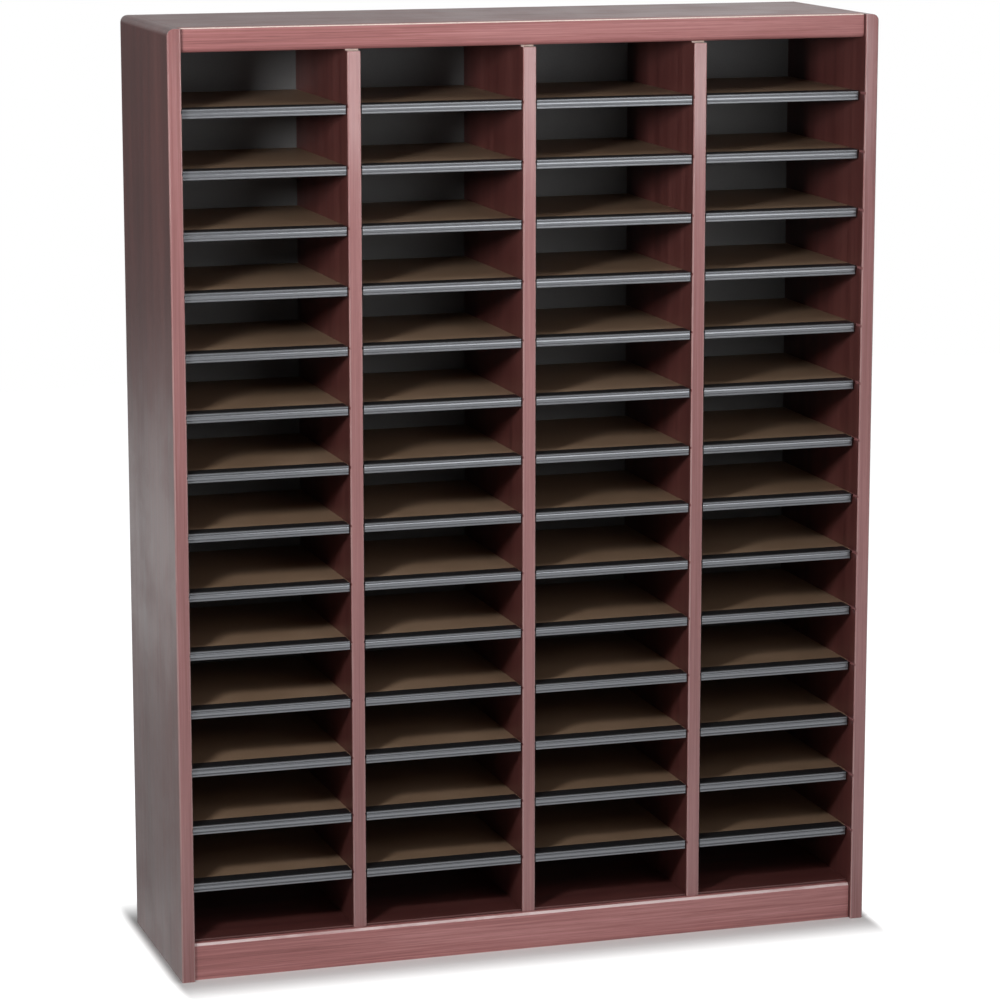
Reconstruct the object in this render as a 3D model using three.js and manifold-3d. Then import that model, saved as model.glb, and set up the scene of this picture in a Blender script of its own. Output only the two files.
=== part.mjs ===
// Pigeonhole mail sorter: a laminated board cabinet with upright dividers and removable shelves.
// Millimetres. +X is the viewer's right, the open front faces -Y, +Z is up, and the floor is z = 0.
import * as THREE from 'three';
import { mergeVertices } from 'three/addons/utils/BufferGeometryUtils.js';
import Module from 'manifold-3d';

const wasm = await Module();
wasm.setup();

// Pockets
const columnCount = 4;
const rowCount = 15;
const pocketWidth = 232;
const pocketDepth = 281;
const pocketHeight = 70.1;
const topPocketHeight = 76.1;
const bottomPocketHeight = 68.3;
const outerPocketSpare = 1.7;

// Boards
const boardThickness = 19;
const backThickness = 3.2;
const frontArris = 2;
const sideTopRadius = 10;
const backRabbetWidth = 9;
const boardGap = 0.3;

// Setbacks of the fronts behind the side panels' front edges
const dividerSetback = 14;
const railSetback = 8;

// Top rail and base rail
const topRailHeight = 33;
const topRailArris = 1.8;
const topRailBottomRadius = 7;
const baseRailHeight = 53;
const baseRailRadius = 6;

// Bottom panel's front lip, which lies over the base rail behind the dividers' toes
const lipSetback = 4;
const lipThickness = 3;

// Gap between a divider's top front corner and the top rail above it
const dividerTopGap = 3.2;

// Shelves and the grooves that carry them
const shelfThickness = 3.2;
const grooveDepth = 1.2;
const slideGap = 0.2;
const shelfRearGap = 2;

// Label moulding on a shelf's front edge
const mouldingHeight = 13;
const mouldingSetback = 3.5;
const mouldingEndGap = 1.8;
const plateThickness = 3;
const lipBand = 2.7;
const labelLine = 1.3;
const labelLineDepth = 1;
const topFlangeDepth = 24;
const bottomFlangeDepth = 12;
const flangeThickness = 1;

// Shelves that run full width, halved into the dividers
const fullWidthLevels = [5, 10];
const halvingDepth = 60;

// Smoothness of the rounded edges, and how far a cutter runs past what it cuts
const arcSteps = 2;
const overrun = 1;

// Places worked out from the sizes above
const shelfLevels = rowCount - 1;
const rowPitch = pocketHeight + mouldingHeight;
const columnPitch = pocketWidth + boardThickness;
const lipUnderside = baseRailHeight + boardGap;
const bottomTopLevel = lipUnderside + lipThickness;
const bottomUnderside = bottomTopLevel - boardThickness;
const cabinetWidth = columnCount * columnPitch + boardThickness + 2 * outerPocketSpare;
const cabinetDepth = dividerSetback + pocketDepth + backThickness;
const lowestMoulding = bottomTopLevel + bottomPocketHeight;
const highestMoulding = lowestMoulding + (shelfLevels - 1) * rowPitch;
const topRailUnderside = highestMoulding + mouldingHeight + topPocketHeight;
const cabinetHeight = topRailUnderside + topRailHeight;
const innerHalfWidth = cabinetWidth / 2 - boardThickness;
const sideFront = -cabinetDepth / 2;
const cabinetRear = cabinetDepth / 2;
const dividerFront = sideFront + dividerSetback;
const railFront = sideFront + railSetback;
const railRear = railFront + boardThickness;
const backFront = cabinetRear - backThickness;
const topUnderside = cabinetHeight - boardThickness;
const topRabbetLevel = topUnderside + backRabbetWidth;
const halvingLine = dividerFront + halvingDepth;
const lipFront = dividerFront + lipSetback;
const mouldingFront = dividerFront + mouldingSetback;
const shelfEngagement = grooveDepth - slideGap;

// Left face of a column's pocket, with columns counted from the viewer's left
const pocketLeft = (column) => (column - 1 - columnCount / 2) * columnPitch + boardThickness / 2;
// Underside of the label moulding at a shelf level, with levels counted down from the top
const mouldingBottom = (level) => lowestMoulding + (shelfLevels - level) * rowPitch;
const shelfTop = (level) => mouldingBottom(level) + mouldingHeight - flangeThickness;
const shelfUnderside = (level) => shelfTop(level) - shelfThickness;

const levels = Array.from({ length: shelfLevels }, (_, i) => i + 1);
const columns = Array.from({ length: columnCount }, (_, i) => i + 1);

// Solids from three.js shapes
function solidOf(geometry) {
  geometry.deleteAttribute('normal');
  geometry.deleteAttribute('uv');
  const merged = mergeVertices(geometry);
  const vertProperties = new Float32Array(merged.attributes.position.array);
  const triVerts = new Uint32Array(merged.index.array);
  return new wasm.Manifold(new wasm.Mesh({ numProp: 3, vertProperties, triVerts }));
}

function box([x0, x1], [y0, y1], [z0, z1]) {
  const geometry = new THREE.BoxGeometry(x1 - x0, y1 - y0, z1 - z0);
  geometry.translate((x0 + x1) / 2, (y0 + y1) / 2, (z0 + z1) / 2);
  return solidOf(geometry);
}

function extrusion(shape, depth, basis, start) {
  const geometry = new THREE.ExtrudeGeometry(shape, { depth, bevelEnabled: false, curveSegments: arcSteps });
  geometry.applyMatrix4(new THREE.Matrix4().makeBasis(...basis));
  geometry.translate(start.x, start.y, start.z);
  return solidOf(geometry);
}

const axisX = new THREE.Vector3(1, 0, 0);
const axisY = new THREE.Vector3(0, 1, 0);
const axisZ = new THREE.Vector3(0, 0, 1);

// A plan outline in x and y, raised from z0 to z1
function raised(shape, [z0, z1]) {
  return extrusion(shape, z1 - z0, [axisX, axisY, axisZ], new THREE.Vector3(0, 0, z0));
}

// A side outline in y and z, run from x0 to x1
function run(shape, [x0, x1]) {
  return extrusion(shape, x1 - x0, [axisY, axisZ, axisX], new THREE.Vector3(x0, 0, 0));
}

// A front outline in x and z, taken through the cabinet from y0 back to y1
function through(shape, [y0, y1]) {
  const backward = axisY.clone().negate();
  return extrusion(shape, y1 - y0, [axisX, axisZ, backward], new THREE.Vector3(0, y1, 0));
}

function polygon(points) {
  return new THREE.Shape(points.map(([u, v]) => new THREE.Vector2(u, v)));
}

const cutAll = (solid, cutters) => cutters.reduce((left, cutter) => left.subtract(cutter), solid);
const joinAll = (solids) => solids.reduce((joined, solid) => joined.add(solid));

// Materials
const mahogany = () => new THREE.MeshStandardMaterial({ color: 0x7a3a38, roughness: 0.4, metalness: 0 });
const fibreboard = () => new THREE.MeshStandardMaterial({ color: 0x2a2a2b, roughness: 0.7, metalness: 0 });
const hardboard = () => new THREE.MeshStandardMaterial({ color: 0x6b553d, roughness: 0.6, metalness: 0 });

const sorter = new THREE.Group();

function addPart(name, solid, material) {
  const { vertProperties, triVerts } = solid.getMesh();
  const geometry = new THREE.BufferGeometry();
  geometry.setAttribute('position', new THREE.BufferAttribute(vertProperties, 3));
  geometry.setIndex(new THREE.BufferAttribute(triVerts, 1));
  geometry.computeVertexNormals();
  const mesh = new THREE.Mesh(geometry, material);
  mesh.name = name;
  sorter.add(mesh);
}

// An upright board seen from above, with its two front arrises rounded
function uprightPlan([x0, x1], [y0, y1]) {
  const r = frontArris;
  const plan = new THREE.Shape();
  plan.moveTo(x0 + r, y0);
  plan.lineTo(x1 - r, y0);
  plan.absarc(x1 - r, y0 + r, r, -Math.PI / 2, 0);
  plan.lineTo(x1, y1);
  plan.lineTo(x0, y1);
  plan.lineTo(x0, y0 + r);
  plan.absarc(x0 + r, y0 + r, r, Math.PI, 1.5 * Math.PI);
  return plan;
}

// Grooves for the shelves' ends in one face of an upright, where side is +1 for a face that looks right
function shelfGrooves(face, side, front) {
  const reach = [face - side * grooveDepth, face + side * overrun].sort((a, b) => a - b);
  return levels.map((level) => box(
    reach,
    [front - overrun, backFront + overrun],
    [shelfUnderside(level) - slideGap, shelfTop(level) + slideGap],
  ));
}

// Side panels: rounded outer top edge, rabbet for the back, grooves on the inner face
function sidePanel(side) {
  const inner = side * innerHalfWidth;
  const outer = side * cabinetWidth / 2;
  const span = [inner, outer].sort((a, b) => a - b);
  const board = raised(uprightPlan(span, [sideFront, cabinetRear]), [0, cabinetHeight]);
  const corner = new THREE.Shape();
  const cornerX = outer - side * sideTopRadius;
  const cornerZ = cabinetHeight - sideTopRadius;
  corner.moveTo(cornerX, cabinetHeight + overrun);
  corner.lineTo(cornerX, cabinetHeight);
  corner.absarc(cornerX, cornerZ, sideTopRadius, Math.PI / 2, side > 0 ? 0 : Math.PI, side > 0);
  corner.lineTo(outer + side * overrun, cornerZ);
  corner.lineTo(outer + side * overrun, cabinetHeight + overrun);
  const rounding = through(corner, [sideFront - overrun, cabinetRear + overrun]);
  const rabbetSpan = [inner - side * overrun, inner + side * backRabbetWidth].sort((a, b) => a - b);
  const rabbet = box(
    rabbetSpan,
    [backFront - boardGap, cabinetRear + overrun],
    [bottomUnderside - boardGap, topRabbetLevel],
  );
  return cutAll(board, [rounding, rabbet, ...shelfGrooves(inner, -side, sideFront)]);
}

addPart('left_side_panel', sidePanel(-1), mahogany());
addPart('right_side_panel', sidePanel(1), mahogany());

// Boards that run between the side panels
const betweenSides = [-innerHalfWidth + boardGap, innerHalfWidth - boardGap];

// Top panel, behind the top rail, rabbeted below at the rear for the back
addPart('top_panel', run(polygon([
  [railRear + boardGap, topUnderside],
  [backFront - boardGap, topUnderside],
  [backFront - boardGap, topRabbetLevel],
  [cabinetRear, topRabbetLevel],
  [cabinetRear, cabinetHeight],
  [railRear + boardGap, cabinetHeight],
]), betweenSides), mahogany());

// Top rail, with a small arris above and a larger rounding below
const topRailProfile = new THREE.Shape();
topRailProfile.moveTo(railRear, topRailUnderside);
topRailProfile.lineTo(railRear, cabinetHeight);
topRailProfile.lineTo(railFront + topRailArris, cabinetHeight);
topRailProfile.absarc(railFront + topRailArris, cabinetHeight - topRailArris, topRailArris,
  Math.PI / 2, Math.PI);
topRailProfile.lineTo(railFront, topRailUnderside + topRailBottomRadius);
topRailProfile.absarc(railFront + topRailBottomRadius, topRailUnderside + topRailBottomRadius,
  topRailBottomRadius, Math.PI, 1.5 * Math.PI);
addPart('top_rail', run(topRailProfile, betweenSides), mahogany());

// Bottom panel, rabbeted below at the front so that its lip lies over the base rail
addPart('bottom_panel', run(polygon([
  [railRear + boardGap, bottomUnderside],
  [backFront - boardGap, bottomUnderside],
  [backFront - boardGap, bottomTopLevel],
  [lipFront, bottomTopLevel],
  [lipFront, lipUnderside],
  [railRear + boardGap, lipUnderside],
]), betweenSides), mahogany());

// Base rail, rounded along its top front edge
const baseRailProfile = new THREE.Shape();
baseRailProfile.moveTo(railFront, 0);
baseRailProfile.lineTo(railRear, 0);
baseRailProfile.lineTo(railRear, baseRailHeight);
baseRailProfile.lineTo(railFront + baseRailRadius, baseRailHeight);
baseRailProfile.absarc(railFront + baseRailRadius, baseRailHeight - baseRailRadius, baseRailRadius,
  Math.PI / 2, Math.PI);
addPart('base_rail', run(baseRailProfile, betweenSides), mahogany());

// Back panel, let into the rabbets of the side panels and the top panel
const backHalfWidth = innerHalfWidth + backRabbetWidth - boardGap;
const backSpanZ = [bottomUnderside, topRabbetLevel - boardGap];
addPart('back_panel', box([-backHalfWidth, backHalfWidth], [backFront, cabinetRear], backSpanZ), fibreboard());

// Dividers: notched over the top rail, with a toe in front of the bottom panel's lip
function divider(column) {
  const left = pocketLeft(column) + pocketWidth;
  const right = left + boardThickness;
  const wide = [left - overrun, right + overrun];
  const board = raised(
    uprightPlan([left, right], [dividerFront, backFront - boardGap]),
    [baseRailHeight + boardGap, topUnderside - boardGap],
  );
  const railNotch = box(wide, [dividerFront - overrun, railRear + boardGap],
    [topRailUnderside - dividerTopGap, cabinetHeight]);
  const floorNotch = box(wide, [lipFront - boardGap, cabinetRear], [0, bottomTopLevel + boardGap]);
  const halvings = fullWidthLevels.map((level) => box(
    wide,
    [halvingLine - boardGap, cabinetRear],
    [shelfUnderside(level) - slideGap, shelfTop(level) + slideGap],
  ));
  return cutAll(board, [
    railNotch,
    floorNotch,
    ...halvings,
    ...shelfGrooves(left, -1, dividerFront),
    ...shelfGrooves(right, 1, dividerFront),
  ]);
}

const dividerNames = ['left_divider', 'centre_divider', 'right_divider'];
dividerNames.forEach((name, i) => addPart(name, divider(i + 1), mahogany()));

// Label moulding seen from its end: a front plate with two label lines, and flanges over and under the shelf
function mouldingProfile(level) {
  const front = mouldingFront;
  const lineBottom = front + labelLineDepth;
  const plateRear = front + plateThickness;
  const z0 = mouldingBottom(level);
  const z1 = z0 + mouldingHeight;
  const under = shelfUnderside(level);
  return polygon([
    [front, z0],
    [plateRear, z0],
    [plateRear, under - flangeThickness],
    [plateRear + bottomFlangeDepth, under - flangeThickness],
    [plateRear + bottomFlangeDepth, under + flangeThickness],
    [plateRear + topFlangeDepth, under + flangeThickness],
    [plateRear + topFlangeDepth, z1],
    [front, z1],
    [front, z1 - lipBand],
    [lineBottom, z1 - lipBand],
    [lineBottom, z1 - lipBand - labelLine],
    [front, z1 - lipBand - labelLine],
    [front, z0 + lipBand + labelLine],
    [lineBottom, z0 + lipBand + labelLine],
    [lineBottom, z0 + lipBand],
    [front, z0 + lipBand],
  ]);
}

function moulding(column, level) {
  const left = pocketLeft(column);
  return run(mouldingProfile(level), [left + mouldingEndGap, left + pocketWidth - mouldingEndGap]);
}

const shelfFront = mouldingFront + plateThickness - flangeThickness;
const shelfSpanY = [shelfFront, backFront - shelfRearGap];

// Removable shelf: a hardboard panel whose ends run in the grooves, with its label moulding
function removableShelf(column, level) {
  const left = column === 1 ? -innerHalfWidth : pocketLeft(column);
  const right = column === columnCount ? innerHalfWidth : pocketLeft(column) + pocketWidth;
  const panel = box(
    [left - shelfEngagement, right + shelfEngagement],
    shelfSpanY,
    [shelfUnderside(level), shelfTop(level)],
  );
  return panel.add(moulding(column, level));
}

// Full-width shelf: one panel through the dividers, notched from the front around each of them
function fullWidthShelf(level) {
  const reach = innerHalfWidth + shelfEngagement;
  const panel = box([-reach, reach], shelfSpanY, [shelfUnderside(level), shelfTop(level)]);
  const notches = dividerNames.map((_, i) => {
    const left = pocketLeft(i + 1) + pocketWidth;
    const notchSpan = [left + shelfEngagement, left + boardThickness - shelfEngagement];
    return box(notchSpan, [shelfFront - overrun, halvingLine], [0, cabinetHeight]);
  });
  return joinAll([cutAll(panel, notches), ...columns.map((column) => moulding(column, level))]);
}

for (const level of levels) {
  const number = String(level).padStart(2, '0');
  if (fullWidthLevels.includes(level)) {
    addPart(`full_width_shelf_${number}`, fullWidthShelf(level), hardboard());
  } else {
    columns.forEach((column) => {
      addPart(`column_${column}_shelf_${number}`, removableShelf(column, level), hardboard());
    });
  }
}

export default sorter;
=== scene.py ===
"""The pigeonhole mail sorter as it looks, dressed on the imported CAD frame. Metres, +Z up, front at -Y."""

import math

import bmesh
import bpy
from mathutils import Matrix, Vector


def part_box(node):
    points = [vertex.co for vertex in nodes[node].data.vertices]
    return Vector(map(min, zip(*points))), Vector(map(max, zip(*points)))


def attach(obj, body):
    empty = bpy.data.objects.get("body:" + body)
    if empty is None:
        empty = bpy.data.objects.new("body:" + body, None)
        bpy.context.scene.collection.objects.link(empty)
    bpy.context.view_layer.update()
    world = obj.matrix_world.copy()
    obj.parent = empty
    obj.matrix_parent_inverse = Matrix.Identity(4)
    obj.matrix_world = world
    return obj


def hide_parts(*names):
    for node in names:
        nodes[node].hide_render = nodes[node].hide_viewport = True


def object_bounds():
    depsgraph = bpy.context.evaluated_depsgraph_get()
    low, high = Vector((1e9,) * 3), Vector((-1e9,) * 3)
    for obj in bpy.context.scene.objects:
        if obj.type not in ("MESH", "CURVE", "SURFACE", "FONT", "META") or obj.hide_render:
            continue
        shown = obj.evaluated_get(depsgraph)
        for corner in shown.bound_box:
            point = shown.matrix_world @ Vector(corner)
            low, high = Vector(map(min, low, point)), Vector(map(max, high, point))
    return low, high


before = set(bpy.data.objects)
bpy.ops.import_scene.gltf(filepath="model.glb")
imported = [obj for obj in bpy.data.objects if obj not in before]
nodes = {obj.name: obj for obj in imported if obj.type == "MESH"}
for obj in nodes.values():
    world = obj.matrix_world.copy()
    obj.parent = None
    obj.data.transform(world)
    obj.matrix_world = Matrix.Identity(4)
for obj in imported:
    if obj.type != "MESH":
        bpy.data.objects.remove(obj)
cad_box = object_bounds()

MM = 0.001

# The photograph's camera, with angles in degrees and the lens and sensor in millimetres
camera_place = (-1.62505, -5.14168, 1.67733)
camera_azimuth = -17.532
camera_elevation = 10.984
camera_lens = 137.09
sensor_width = 36
camera_reach = 100

# Meshes: which facets are joined, and which edges are bevelled and which stay sharp
weld_distance = 1e-6
flat_angle = math.radians(1)
bevel_angle = math.radians(60)
bevel_segments = 2
board_bevel = 0.4 * MM
sharp_angle = math.radians(32)

# A face is square to an axis when its normal's part along the axis is more than this
square_on = 0.99

# Wear and painted highlight: narrow slanted faces are rubbed arrises, lighter for wear and as a painted
# highlight, and the base rail's rounding, told by its slope, is lightened most, as a painted highlight
arris_width = 1.3 * MM
arris_wear_and_highlight = 1.0
rounding_painted_highlight = 1.5
rounding_slope_low, rounding_slope_high = 0.5, 0.95

# Uprights: depth of the front band with the edge finish, and the limits that tell a shelf groove from a face
edge_band = 2.2 * MM
groove_width_limit = 2 * MM
groove_floor_depth = 0.5 * MM

# Top rail: least upward and forward lean of the faces of its upper arris, which shows pale core brightened as a
# painted highlight
highlight_upward, highlight_forward = 0.3, 0.15

# Shelf: hardboard panel and label moulding, as high as the CAD's
shelf_thickness = 3.2 * MM
flange_thickness = 1 * MM
moulding_end_gap = 1.8 * MM
plate_thickness = 3 * MM
lip_band = 2.7 * MM
label_line = 1.3 * MM
label_line_depth = 1 * MM
top_flange_depth = 24 * MM
bottom_flange_depth = 12 * MM
lip_radius = 0.9 * MM
line_radius = 0.3 * MM
line_steps = 2
rib_rise = 0.45 * MM
rib_steps = 8
shelf_bevel = 0.25 * MM
halving_depth = 60 * MM
panel_inset = 12 * MM
shelf_low, shelf_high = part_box("column_1_shelf_01")
moulding_height = shelf_high.z - shelf_low.z

uprights = ["left_side_panel", "right_side_panel", "left_divider", "centre_divider", "right_divider"]
level_boards = ["top_panel", "top_rail", "bottom_panel", "base_rail"]
column_count = 4


class Graph:
    """A node tree in the making."""

    def __init__(self, tree):
        self.tree = tree

    def feed(self, node, inputs):
        """Links an output to an input, or sets the input's own value."""
        for key, value in inputs.items():
            if isinstance(value, bpy.types.NodeSocket):
                self.tree.links.new(value, node.inputs[key])
            else:
                node.inputs[key].default_value = value

    def add(self, kind, inputs=None, **settings):
        node = self.tree.nodes.new(kind)
        for key, value in settings.items():
            setattr(node, key, value)
        self.feed(node, inputs or {})
        return node

    def math(self, operation, a, b=0.0):
        return self.add("ShaderNodeMath", {0: a, 1: b}, operation=operation).outputs[0]

    def weigh(self, a, share, b):
        """A share of one value with the rest of another."""
        return self.math("ADD", self.math("MULTIPLY", a, share), self.math("MULTIPLY", b, 1 - share))

    def vector(self, operation, a, b=(0, 0, 0)):
        node = self.add("ShaderNodeVectorMath", {0: a, 1: b}, operation=operation)
        return node.outputs["Value" if operation == "LENGTH" else "Vector"]

    def between(self, value, low, high, to_low=0.0, to_high=1.0):
        """Smoothly maps low..high of a value onto to_low..to_high."""
        inputs = {"Value": value, "From Min": low, "From Max": high, "To Min": to_low, "To Max": to_high}
        return self.add("ShaderNodeMapRange", inputs, interpolation_type="SMOOTHSTEP").outputs["Result"]

    def ray_kinds(self):
        """Two masks: rays from the camera, and rays that show the background in gloss or through glass."""
        path = self.add("ShaderNodeLightPath").outputs
        return path["Is Camera Ray"], self.math("MAXIMUM", path["Is Glossy Ray"], path["Is Transmission Ray"])


class Shader(Graph):
    """A procedural material in the making, with a Principled shader at its end."""

    def __init__(self, name, **sockets):
        self.material = bpy.data.materials.new(name)
        self.material.use_nodes = True
        super().__init__(self.material.node_tree)
        self.surface = self.tree.nodes["Principled BSDF"]
        self.feed(self.surface, {key.replace("_", " "): value for key, value in sockets.items()})
        self.place = self.add("ShaderNodeTexCoord").outputs["Object"]

    def stretched(self, scale):
        """Object coordinates times a scale per axis, in repeats per metre."""
        return self.add("ShaderNodeMapping", {"Vector": self.place, "Scale": scale}).outputs["Vector"]

    def noise(self, scale, detail=2.0, roughness=0.5, distortion=0.0):
        inputs = {"Vector": self.stretched(scale), "Scale": 1.0, "Detail": detail,
                  "Roughness": roughness, "Distortion": distortion}
        return self.add("ShaderNodeTexNoise", inputs).outputs["Fac"]

    def mix(self, factor, a, b):
        node = self.add("ShaderNodeMix", data_type="RGBA")
        self.feed(node, {0: factor, 6: a, 7: b})
        return node.outputs[2]

    def ramp(self, factor, *stops):
        node = self.add("ShaderNodeValToRGB", {"Fac": factor})
        while len(node.color_ramp.elements) < len(stops):
            node.color_ramp.elements.new(0.5)
        for element, (position, colour) in zip(node.color_ramp.elements, stops):
            element.position = position
            element.color = (*colour, 1.0)
        return node.outputs["Color"]

    def bump(self, height, distance):
        inputs = {"Height": height, "Distance": distance, "Strength": 1.0}
        return self.add("ShaderNodeBump", inputs).outputs["Normal"]

    def attribute(self, name):
        return self.add("ShaderNodeAttribute", attribute_name=name).outputs["Fac"]

    def finish(self, colour, roughness, normal):
        self.feed(self.surface, {"Base Color": colour, "Roughness": roughness, "Normal": normal})
        return self.material


def along(axis, lengthwise, crosswise):
    """Noise scale of a grain that runs along an axis."""
    return tuple(lengthwise if i == axis else crosswise for i in range(3))


def laminate(name, axis, dark, middle, light, rubbed_and_highlight, smoothest=0.3):
    """Wood-grain laminate: broad figure, fine streaks and pores along the grain, arrises lighter for wear and
    as a painted highlight.

    Its roughness starts at smoothest, and streaks and smudges add to it.
    """
    s = Shader(name, IOR=1.52)
    figure = s.noise(along(axis, 1.1, 26), detail=3, distortion=0.6)
    streak = s.noise(along(axis, 5, 420), detail=4, roughness=0.65)
    pores = s.noise(along(axis, 26, 1500), detail=2)
    tone = s.weigh(figure, 0.45, streak)
    colour = s.ramp(tone, (0.33, dark), (0.5, middle), (0.68, light))
    pore = s.between(pores, 0.56, 0.72, to_high=0.4)
    colour = s.mix(pore, colour, (*dark, 1.0))
    smudge = s.noise((9, 9, 9), detail=4, roughness=0.6)
    # Arrises lighter for wear and as a painted highlight; the base rail's rounding takes a painted highlight
    wear_and_highlight = s.math("MULTIPLY", s.attribute("arris"), s.between(smudge, 0.3, 0.65, to_low=0.25, to_high=0.8))
    colour = s.mix(wear_and_highlight, colour, (*rubbed_and_highlight, 1.0))
    rough_streak = s.between(streak, 0.3, 0.7, to_low=smoothest, to_high=smoothest + 0.08)
    rough = s.math("ADD", rough_streak, s.between(smudge, 0.35, 0.7, to_high=0.07))
    height = s.math("SUBTRACT", s.math("MULTIPLY", streak, 0.5), pore)
    return s.finish(colour, rough, s.bump(height, distance=0.06 * MM))


def raw_board(name, dark, middle, light):
    """Pale board core that shows where a board is cut to length or its laminate ends."""
    s = Shader(name, IOR=1.45)
    cells = s.add("ShaderNodeTexVoronoi", {"Vector": s.stretched((420, 420, 420)), "Scale": 1.0})
    fleck = s.noise((900, 900, 900), detail=3)
    shade = s.weigh(cells.outputs["Color"], 0.5, fleck)
    colour = s.ramp(shade, (0.25, dark), (0.55, middle), (0.8, light))
    rough = s.between(fleck, 0.3, 0.7, to_low=0.75, to_high=0.95)
    return s.finish(colour, rough, s.bump(shade, distance=0.3 * MM))


def hardboard(name, screen_back):
    """Brown pressed fibreboard: fine fibres and flecks, with a woven print on the rough face."""
    s = Shader(name, IOR=1.48)
    cloud = s.noise((7, 7, 7), detail=3)
    fibre = s.noise((380, 900, 900), detail=4, roughness=0.7, distortion=1.2)
    fleck = s.noise((1300, 1300, 1300), detail=2)
    tone = s.weigh(cloud, 0.35, fibre)
    dark, middle, light = (0.205, 0.128, 0.076), (0.33, 0.216, 0.138), (0.44, 0.305, 0.208)
    burnt = (0.055, 0.032, 0.02, 1.0)
    colour = s.ramp(tone, (0.3, dark), (0.5, middle), (0.7, light))
    colour = s.mix(s.between(fleck, 0.6, 0.74, to_high=0.55), colour, burnt)
    if screen_back:
        wires = {"Vector": s.place, "Scale": 130.0}
        weave = [s.add("ShaderNodeTexWave", wires, bands_direction=way).outputs["Fac"] for way in ("X", "Y")]
        height = s.math("ADD", s.math("MULTIPLY", *weave), s.math("MULTIPLY", fibre, 0.5))
        rough = s.between(fibre, 0.3, 0.7, to_low=0.72, to_high=0.9)
        return s.finish(colour, rough, s.bump(height, distance=0.5 * MM))
    rough = s.between(tone, 0.35, 0.65, to_low=0.42, to_high=0.6)
    return s.finish(colour, rough, s.bump(fibre, distance=0.12 * MM))


def fibreboard_back(name):
    """Charcoal-coated fibreboard with a faint mottle."""
    s = Shader(name, IOR=1.47)
    cloud = s.noise((5, 5, 5), detail=4, roughness=0.6)
    grit = s.noise((700, 700, 700), detail=3, roughness=0.65)
    tone = s.weigh(cloud, 0.6, grit)
    dark, light = (0.095, 0.095, 0.095), (0.185, 0.185, 0.185)
    colour = s.ramp(tone, (0.3, dark), (0.7, light))
    rough = s.between(tone, 0.3, 0.7, to_low=0.5, to_high=0.7)
    return s.finish(colour, rough, s.bump(grit, distance=0.15 * MM))


def plastic(name, dark, light, smoothest, roughest, silver=0.0):
    """Extruded plastic, silver-pigmented or not, with draw lines along its length and a little dust."""
    s = Shader(name, IOR=1.5, Metallic=silver)
    draw = s.noise((3, 1600, 1600), detail=2)
    dust = s.noise((160, 160, 160), detail=5, roughness=0.7)
    tone = s.weigh(draw, 0.5, dust)
    colour = s.ramp(tone, (0.32, dark), (0.68, light))
    rough = s.between(dust, 0.3, 0.7, to_low=smoothest, to_high=roughest)
    return s.finish(colour, rough, s.bump(draw, distance=0.04 * MM))


# Axes that the grain runs along
LENGTHWAYS, UPRIGHT = 0, 2

# Colours: laminate on broad faces, front edges and the two rails, cut board, and the plastic's four parts
face_colours = dict(dark=(0.065, 0.0186, 0.0172), middle=(0.11, 0.0325, 0.0294), light=(0.16, 0.055, 0.049),
                    rubbed_and_highlight=(0.17, 0.075, 0.07))
edge_colours = dict(dark=(0.255, 0.096, 0.094), middle=(0.35, 0.148, 0.146), light=(0.44, 0.208, 0.205),
                    rubbed_and_highlight=(0.48, 0.29, 0.28))
top_colours = dict(dark=(0.17, 0.05, 0.048), middle=(0.345, 0.125, 0.122), light=(0.49, 0.22, 0.215),
                   rubbed_and_highlight=(0.48, 0.29, 0.28))
# Base rail: the top rail's laminate made lighter, painted light for the dim bottom of the cabinet; its rubbed
# colour is a painted highlight on the rounding
base_rail_lightened_colours = dict(dark=(0.22, 0.065, 0.062), middle=(0.44, 0.165, 0.16), light=(0.62, 0.285, 0.28),
                    rubbed_and_highlight=(0.92, 0.72, 0.71))
core_colours = dict(dark=(0.55, 0.44, 0.34), middle=(0.74, 0.62, 0.5), light=(0.88, 0.76, 0.63))
# Pale core, brightened as a painted highlight on the top rail's upper arris and the dividers' cut faces
pale_core_highlight_colours = dict(dark=(0.82, 0.69, 0.62), middle=(0.93, 0.8, 0.72), light=(0.98, 0.87, 0.79))
grey_colours = dict(dark=(0.15, 0.156, 0.168), light=(0.178, 0.185, 0.2))
rib_colours = dict(dark=(0.155, 0.161, 0.174), light=(0.185, 0.192, 0.208))
# Label lines: a darker copy of the grey plastic, painted shade in the recessed lines
label_line_shade_colours = dict(dark=(0.085, 0.088, 0.095), light=(0.105, 0.109, 0.118))
black_colours = dict(dark=(0.008, 0.008, 0.009), light=(0.016, 0.016, 0.018))

materials = {
    "upright_face": laminate("mahogany_face_upright", UPRIGHT, **face_colours),
    "upright_edge": laminate("mahogany_edge_upright", UPRIGHT, **edge_colours, smoothest=0.12),
    "level_face": laminate("mahogany_face_level", LENGTHWAYS, **face_colours),
    "top_rail": laminate("mahogany_top_rail", LENGTHWAYS, **top_colours, smoothest=0.45),
    "base_rail": laminate("mahogany_base_rail_lightened", LENGTHWAYS, **base_rail_lightened_colours),
    "raw": raw_board("chipboard_core", **core_colours),
    "pale_core_painted_highlight": raw_board("pale_core_painted_highlight", **pale_core_highlight_colours),
    "back": fibreboard_back("charcoal_fibreboard"),
    "board": hardboard("hardboard_smooth", screen_back=False),
    "screen": hardboard("hardboard_screen_back", screen_back=True),
    "grey": plastic("grey_label_plastic", **grey_colours, smoothest=0.32, roughest=0.4, silver=0.55),
    "rib": plastic("grey_label_rib", **rib_colours, smoothest=0.14, roughest=0.19, silver=0.6),
    "line": plastic("grey_label_line_painted_shade", **label_line_shade_colours, smoothest=0.42, roughest=0.52, silver=0.3),
    "black": plastic("black_flange_plastic", **black_colours, smoothest=0.35, roughest=0.5),
}


def put_in_scene(name, data):
    made = bpy.data.objects.new(name, data)
    bpy.context.scene.collection.objects.link(made)
    return made


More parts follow.
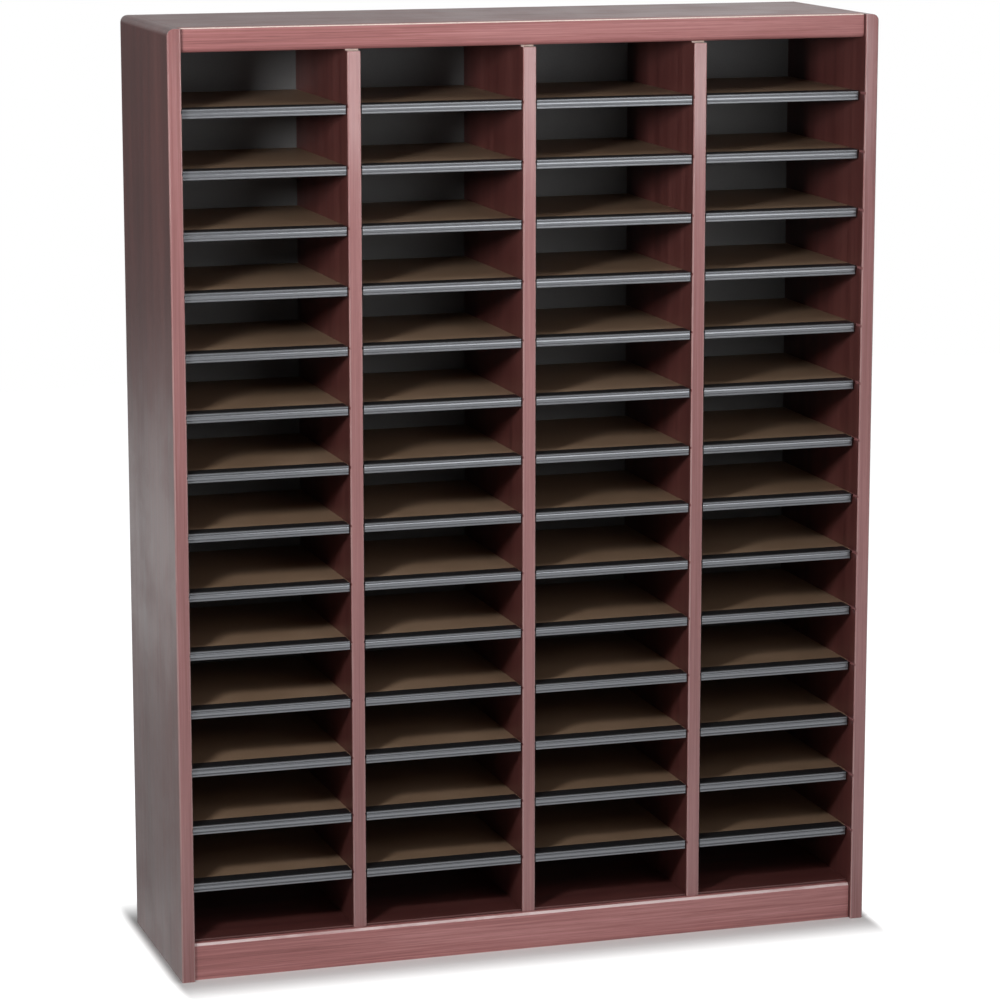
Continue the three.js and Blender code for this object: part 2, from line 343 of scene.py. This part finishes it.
def piece(name, bm, slots, body, node):
    """Turns a bmesh into a piece that rides on a body and stands for a CAD node."""
    bmesh.ops.recalc_face_normals(bm, faces=bm.faces)
    arris = bm.faces.layers.float.new("arris")
    for face in bm.faces:
        face.smooth = True
        narrow = min(edge.calc_length() for edge in face.edges) < arris_width
        slanted = max(map(abs, face.normal)) < square_on
        # The base rail's rounding is painted pale as a highlight; other narrow slanted faces are lighter for
        # wear and as a painted highlight
        if node == "base_rail" and rounding_slope_low < face.normal.z < rounding_slope_high:
            face[arris] = rounding_painted_highlight
        elif slanted and narrow:
            face[arris] = arris_wear_and_highlight
    mesh = bpy.data.meshes.new(name)
    bm.to_mesh(mesh)
    bm.free()
    for slot in slots:
        mesh.materials.append(materials[slot])
    mesh.set_sharp_from_angle(angle=sharp_angle)
    made = put_in_scene(name, mesh)
    made.modifiers.new("flat_faces", "WEIGHTED_NORMAL").keep_sharp = True
    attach(made, body)
    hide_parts(node)


def round_edges(bm, width):
    """Bevels every convex edge that turns sharply."""
    closed = [e for e in bm.edges if len(e.link_faces) == 2]
    edges = [e for e in closed if e.is_convex and e.calc_face_angle(0) > bevel_angle]
    bmesh.ops.bevel(bm, geom=edges, offset=width, segments=bevel_segments, profile=0.5, affect="EDGES",
                    clamp_overlap=True)


def board_copy(node):
    """The CAD board as a clean mesh with its coplanar facets joined."""
    bm = bmesh.new()
    bm.from_mesh(nodes[node].data)
    bmesh.ops.remove_doubles(bm, verts=bm.verts, dist=weld_distance)
    bmesh.ops.dissolve_limit(bm, angle_limit=flat_angle, verts=bm.verts, edges=bm.edges)
    return bm


def face_width(face):
    """How far a face reaches across the cabinet."""
    places = [vert.co.x for vert in face.verts]
    return max(places) - min(places)


def dress_upright(node):
    """An upright: edge band in front, laminate faces, raw board where its ends and rear are cut, on the
    dividers pale core brightened as a painted highlight.
    """
    bm = board_copy(node)
    round_edges(bm, board_bevel)
    low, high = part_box(node)
    divider = node.endswith("divider")
    # Dividers' cut faces take the pale core brightened as a painted highlight
    slots = ["upright_face", "upright_edge", "pale_core_painted_highlight" if divider else "raw"]
    edge, cut = 1, 2
    band = low.y + edge_band
    for face in bm.faces:
        at = face.calc_center_median()
        level = abs(face.normal.z) > square_on
        cut_end = level and high.x - low.x - groove_width_limit < face_width(face)
        notch = face.normal.y < -square_on and at.y > band
        rear = face.normal.y > square_on
        sunk = min(at.x - low.x, high.x - at.x) > groove_floor_depth
        groove_floor = abs(face.normal.x) > square_on and sunk
        groove_side = level and face_width(face) < groove_width_limit
        if divider and (cut_end or notch) or rear:
            face.material_index = cut
        # Groove faces take the paler edge finish, painted light that lifts the shade in the grooves' mouths
        elif at.y < band or groove_floor or groove_side:
            face.material_index = edge
    piece(node + "_board", bm, slots, "cabinet", node)


def dress_level(node, slot):
    """A board that lies across the cabinet, with its grain along it and the top rail's upper arris in pale core
    brightened as a painted highlight.
    """
    bm = board_copy(node)
    round_edges(bm, board_bevel)
    painted_highlight = 1
    for face in bm.faces:
        if node == "top_rail" and face.normal.z > highlight_upward and face.normal.y < -highlight_forward:
            face.material_index = painted_highlight
    piece(node + "_board", bm, [slot, "pale_core_painted_highlight"], "cabinet", node)


def dress_back():
    """The back: one thin sheet of fibreboard."""
    bm = board_copy("back_panel")
    round_edges(bm, board_bevel)
    piece("back_panel_sheet", bm, ["back"], "cabinet", "back_panel")


def arc(centre, radius, start, end, steps=4):
    """Points of an arc from start to end, in degrees."""
    turns = [math.radians(start + (end - start) * i / steps) for i in range(steps + 1)]
    return [(centre[0] + radius * math.cos(t), centre[1] + radius * math.sin(t)) for t in turns]


def moulding_outline():
    """Moulding seen from its end: points in depth and height, first up its back and then down its front.

    The second list gives the slot of the side that starts at each point.
    """
    height = moulding_height
    under = height - flange_thickness - shelf_thickness
    low_line, low_top = lip_band, lip_band + label_line
    high_line, high_top = height - lip_band - label_line, height - lip_band
    r, q = lip_radius, line_radius
    middle = (low_top + high_line) / 2
    half = (high_line - low_top) / 2
    bend = (half * half + rib_rise * rib_rise) / (2 * rib_rise)
    tilt = math.degrees(math.asin(half / bend))
    back = [
        (plate_thickness, 0),
        (plate_thickness, under - flange_thickness),
        (plate_thickness + bottom_flange_depth, under - flange_thickness),
        (plate_thickness + bottom_flange_depth, under),
        (plate_thickness, under),
        (plate_thickness, under + shelf_thickness),
        (plate_thickness + top_flange_depth, under + shelf_thickness),
        (plate_thickness + top_flange_depth, height),
    ]
    front = [
        *arc((r, height - r), r, 90, 180),
        *arc((q, high_top + q), q, 180, 270, line_steps),
        (label_line_depth, high_top),
        (label_line_depth, high_line),
        *arc((bend, middle), bend, 180 - tilt, 180 + tilt, rib_steps),
        (label_line_depth, low_top),
        (label_line_depth, low_line),
        *arc((q, low_line - q), q, 90, 180, line_steps),
        *arc((r, r), r, 180, 270),
    ]
    outline = back + front
    sunk = [u == label_line_depth for u, v in outline]
    slots = ["black"] * len(back) + ["grey"] * (len(front) - 1) + ["black"]
    for i in range(len(back), len(outline) - 1):
        at = (outline[i][1] + outline[i + 1][1]) / 2
        # Recessed label lines take the darker plastic, painted shade
        if sunk[i] and sunk[i + 1]:
            slots[i] = "line"
        elif low_top < at < high_line:
            slots[i] = "rib"
        elif at > height - flange_thickness:
            slots[i] = "black"
    return outline, slots


def extrude(bm, outline, point, start, end, index_of, caps):
    """A closed prism of an outline between two stations, with a material index per side."""
    rings = [[bm.verts.new(point(u, v, t)) for u, v in outline] for t in (start, end)]
    count = len(outline)
    for i in range(count):
        j = (i + 1) % count
        face = bm.faces.new((rings[0][i], rings[0][j], rings[1][j], rings[1][i]))
        face.material_index = index_of(i)
    for ring in rings:
        bm.faces.new(ring).material_index = caps


shelf_slots = ["board", "screen", "grey", "rib", "line", "black"]


def add_moulding(bm, low, start, end):
    """Label moulding between two x stations, with its front foot at a corner of the shelf's box."""
    outline, slots = moulding_outline()
    extrude(bm, outline, lambda u, v, t: (t, low.y + u, low.z + v), start, end,
            lambda i: shelf_slots.index(slots[i]), shelf_slots.index("black"))


def add_panel(bm, outline, low):
    """Hardboard panel of a plan outline, with the screen print underneath."""
    top = low.z + moulding_height - flange_thickness
    board = shelf_slots.index("board")
    before = set(bm.faces)
    extrude(bm, outline, lambda x, y, t: (x, y, t), top - shelf_thickness, top, lambda i: board, board)
    lowest = min((f for f in bm.faces if f not in before), key=lambda f: f.calc_center_median().z)
    lowest.material_index = shelf_slots.index("screen")


def moulding_span(column):
    """Ends of a column's label mouldings, set out from the dividers."""
    dividers = [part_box(name) for name in ("left_divider", "centre_divider", "right_divider")]
    pocket_width = dividers[1][0].x - dividers[0][1].x
    left = dividers[column - 2][1].x if column > 1 else dividers[0][0].x - pocket_width
    return left + moulding_end_gap, left + pocket_width - moulding_end_gap


def dress_shelf(node):
    """Removable shelf: hardboard panel in its grooves with a label moulding."""
    low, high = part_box(node)
    bm = bmesh.new()
    front = low.y + plate_thickness + panel_inset
    add_panel(bm, [(low.x, front), (high.x, front), (high.x, high.y), (low.x, high.y)], low)
    add_moulding(bm, low, *moulding_span(int(node.split("_")[1])))
    round_edges(bm, shelf_bevel)
    piece(node + "_panel", bm, shelf_slots, node, node)


def notched_outline(low, high, front, spans, notch_rear):
    """Plan of a full-width panel, notched from the front between neighbouring columns."""
    outline = []
    for i, (start, end) in enumerate(spans):
        outline += [(start, notch_rear if i else front), (start, front), (end, front)]
        if i < len(spans) - 1:
            outline.append((end, notch_rear))
    return outline[1:] + [(high.x, high.y), (low.x, high.y)]


def dress_full_width(node):
    """Full-width shelf: one notched panel with a label moulding in each column."""
    low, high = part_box(node)
    columns = range(1, column_count + 1)
    spans = [(a.x, b.x) for a, b in (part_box(f"column_{c}_shelf_01") for c in columns)]
    notch_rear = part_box("centre_divider")[0].y + halving_depth
    bm = bmesh.new()
    front = low.y + plate_thickness + panel_inset
    add_panel(bm, notched_outline(low, high, front, spans, notch_rear), low)
    for column in columns:
        add_moulding(bm, low, *moulding_span(column))
    round_edges(bm, shelf_bevel)
    piece(node + "_panel", bm, shelf_slots, "cabinet", node)


for upright in uprights:
    dress_upright(upright)
for board in level_boards:
    dress_level(board, board if board.endswith("rail") else "level_face")
dress_back()
for name in sorted(nodes):
    if name.startswith("column_"):
        dress_shelf(name)
    elif name.startswith("full_width_"):
        dress_full_width(name)


# Floor: a painted soft contact shadow round the footprint, where its white glow fades, narrower at the sides
floor_radius = 8.5
floor_centre = (1.0, -3.5, 0.0)
floor_segments = 96
floor_grey = (0.85, 0.85, 0.85, 1)
shadow_reach = 0.13
shadow_narrowing = (6, 1, 1)

# The floor as gloss mirrors it: its glow in front, beside and behind, dimmer beside and behind as painted
# shade, the depths between which that changes, and how far out it turns white
mirror_front, mirror_side, mirror_rear = 0.9, 0.53, 0.34
front_from, front_to = -0.5, -0.2
rear_from, rear_to = 0.12, 0.4
mirror_near, mirror_far = 1.5, 2.6

# World: its even light, and the sky that gloss mirrors, brighter to the right and dim at the horizon
ambient = 0.05
sky_left, sky_right = 0.6, 1.0
sky_turn_from, sky_turn_to = 0.2, 0.4
horizon = 0.16
horizon_height = 0.04


def studio_floor():
    """Pale floor that keeps the lamps' shadow and reads as white, with a painted contact shadow and painted
    shade in its mirrored glow.
    """
    bm = bmesh.new()
    bmesh.ops.create_circle(bm, cap_ends=True, segments=floor_segments, radius=floor_radius)
    bmesh.ops.translate(bm, verts=bm.verts, vec=floor_centre)
    mesh = bpy.data.meshes.new("studio_floor")
    bm.to_mesh(mesh)
    bm.free()
    floor = put_in_scene("studio_floor", mesh)
    material = bpy.data.materials.new("studio_floor")
    material.use_nodes = True
    material.node_tree.nodes.clear()
    g = Graph(material.node_tree)
    seen, mirrored = g.ray_kinds()
    place = g.add("ShaderNodeTexCoord").outputs["Object"]
    # Painted contact shadow: the glow that the camera sees fades toward the cabinet's footprint
    outside = g.vector("SUBTRACT", g.vector("ABSOLUTE", place), tuple(cad_box[1]))
    outside = g.vector("MULTIPLY", g.vector("MAXIMUM", outside), shadow_narrowing)
    glow_seen = g.math("MULTIPLY", seen, g.between(g.vector("LENGTH", outside), 0.0, shadow_reach))
    # Painted shade in gloss: the mirrored glow is dimmer beside and behind the cabinet
    depth = g.add("ShaderNodeSeparateXYZ", {"Vector": place}).outputs["Y"]
    beside = g.between(depth, rear_from, rear_to, mirror_side, mirror_rear)
    near = g.between(depth, front_from, front_to, mirror_front, beside)
    all_round = g.between(g.vector("LENGTH", place), mirror_near, mirror_far, near, 1.0)
    glow_mirrored = g.math("MULTIPLY", mirrored, all_round)
    glow = g.add("ShaderNodeEmission", {"Strength": g.math("MAXIMUM", glow_seen, glow_mirrored)})
    diffuse = g.add("ShaderNodeBsdfDiffuse", {"Color": floor_grey})
    both = g.add("ShaderNodeAddShader", {0: diffuse.outputs[0], 1: glow.outputs[0]})
    g.add("ShaderNodeOutputMaterial", {"Surface": both.outputs[0]})
    mesh.materials.append(material)


def studio_world():
    """White behind the object, a grey sky in gloss, and a dim even light from all round."""
    world = bpy.data.worlds.new("studio")
    bpy.context.scene.world = world
    world.use_nodes = True
    g = Graph(world.node_tree)
    seen, mirrored = g.ray_kinds()
    way = g.add("ShaderNodeSeparateXYZ", {"Vector": g.add("ShaderNodeTexCoord").outputs["Generated"]})
    sky = g.between(way.outputs["X"], sky_turn_from, sky_turn_to, sky_left, sky_right)
    sky = g.between(way.outputs["Z"], 0.0, horizon_height, horizon, sky)
    unseen = g.between(mirrored, 0.0, 1.0, ambient, sky)
    g.feed(world.node_tree.nodes["Background"],
           {"Color": (1, 1, 1, 1), "Strength": g.between(seen, 0.0, 1.0, unseen, 1.0)})


def look(thing, place, direction):
    """Stands a lamp or a camera at a place, facing a direction."""
    thing.location = place
    thing.rotation_mode = "QUATERNION"
    thing.rotation_quaternion = direction.to_track_quat("-Z", "Y")


def softbox(name, place, aim, size, power, spread=180):
    """A rectangular lamp with a beam of a given spread in degrees, which the camera doesn't see."""
    data = bpy.data.lights.new(name, "AREA")
    data.shape = "RECTANGLE"
    data.size, data.size_y = size
    data.energy = power
    data.spread = math.radians(spread)
    lamp = put_in_scene(name, data)
    look(lamp, place, Vector(aim) - Vector(place))
    lamp.visible_camera = False


def photo_camera():
    """A camera fitted to the object's edges in the photograph."""
    data = bpy.data.cameras.new("photo_camera")
    data.lens = camera_lens
    data.sensor_width = sensor_width
    data.clip_end = camera_reach
    camera = put_in_scene("photo_camera", data)
    a, e = math.radians(camera_azimuth), math.radians(camera_elevation)
    ahead = Vector((-math.sin(a) * math.cos(e), math.cos(a) * math.cos(e), -math.sin(e)))
    look(camera, camera_place, ahead)
    bpy.context.scene.camera = camera


studio_floor()
studio_world()
softbox("key_left", place=(-1.38, -1.43, 1.5), aim=(0.4, -0.1, 1.0), size=(0.32, 0.32), power=13.4, spread=130)
softbox("fill_right", place=(0.57, -1.8, 1.12), aim=(0, -0.1, 1.2), size=(1.15, 0.3), power=1.3, spread=90)
softbox("fill_high", place=(0.65, -1.8, 1.47), aim=(0, -0.1, 1.1), size=(0.8, 0.3), power=2.5)
softbox("fill_top", place=(0.3, -0.9, 2.0), aim=(0, -0.1, 1.0), size=(0.9, 0.4), power=3.0)
softbox("overhead", place=(0.75, -0.25, 3.3), aim=(0, -0.1, 0.5), size=(0.9, 0.9), power=17)
photo_camera()
bpy.context.scene.view_settings.view_transform = "Standard"
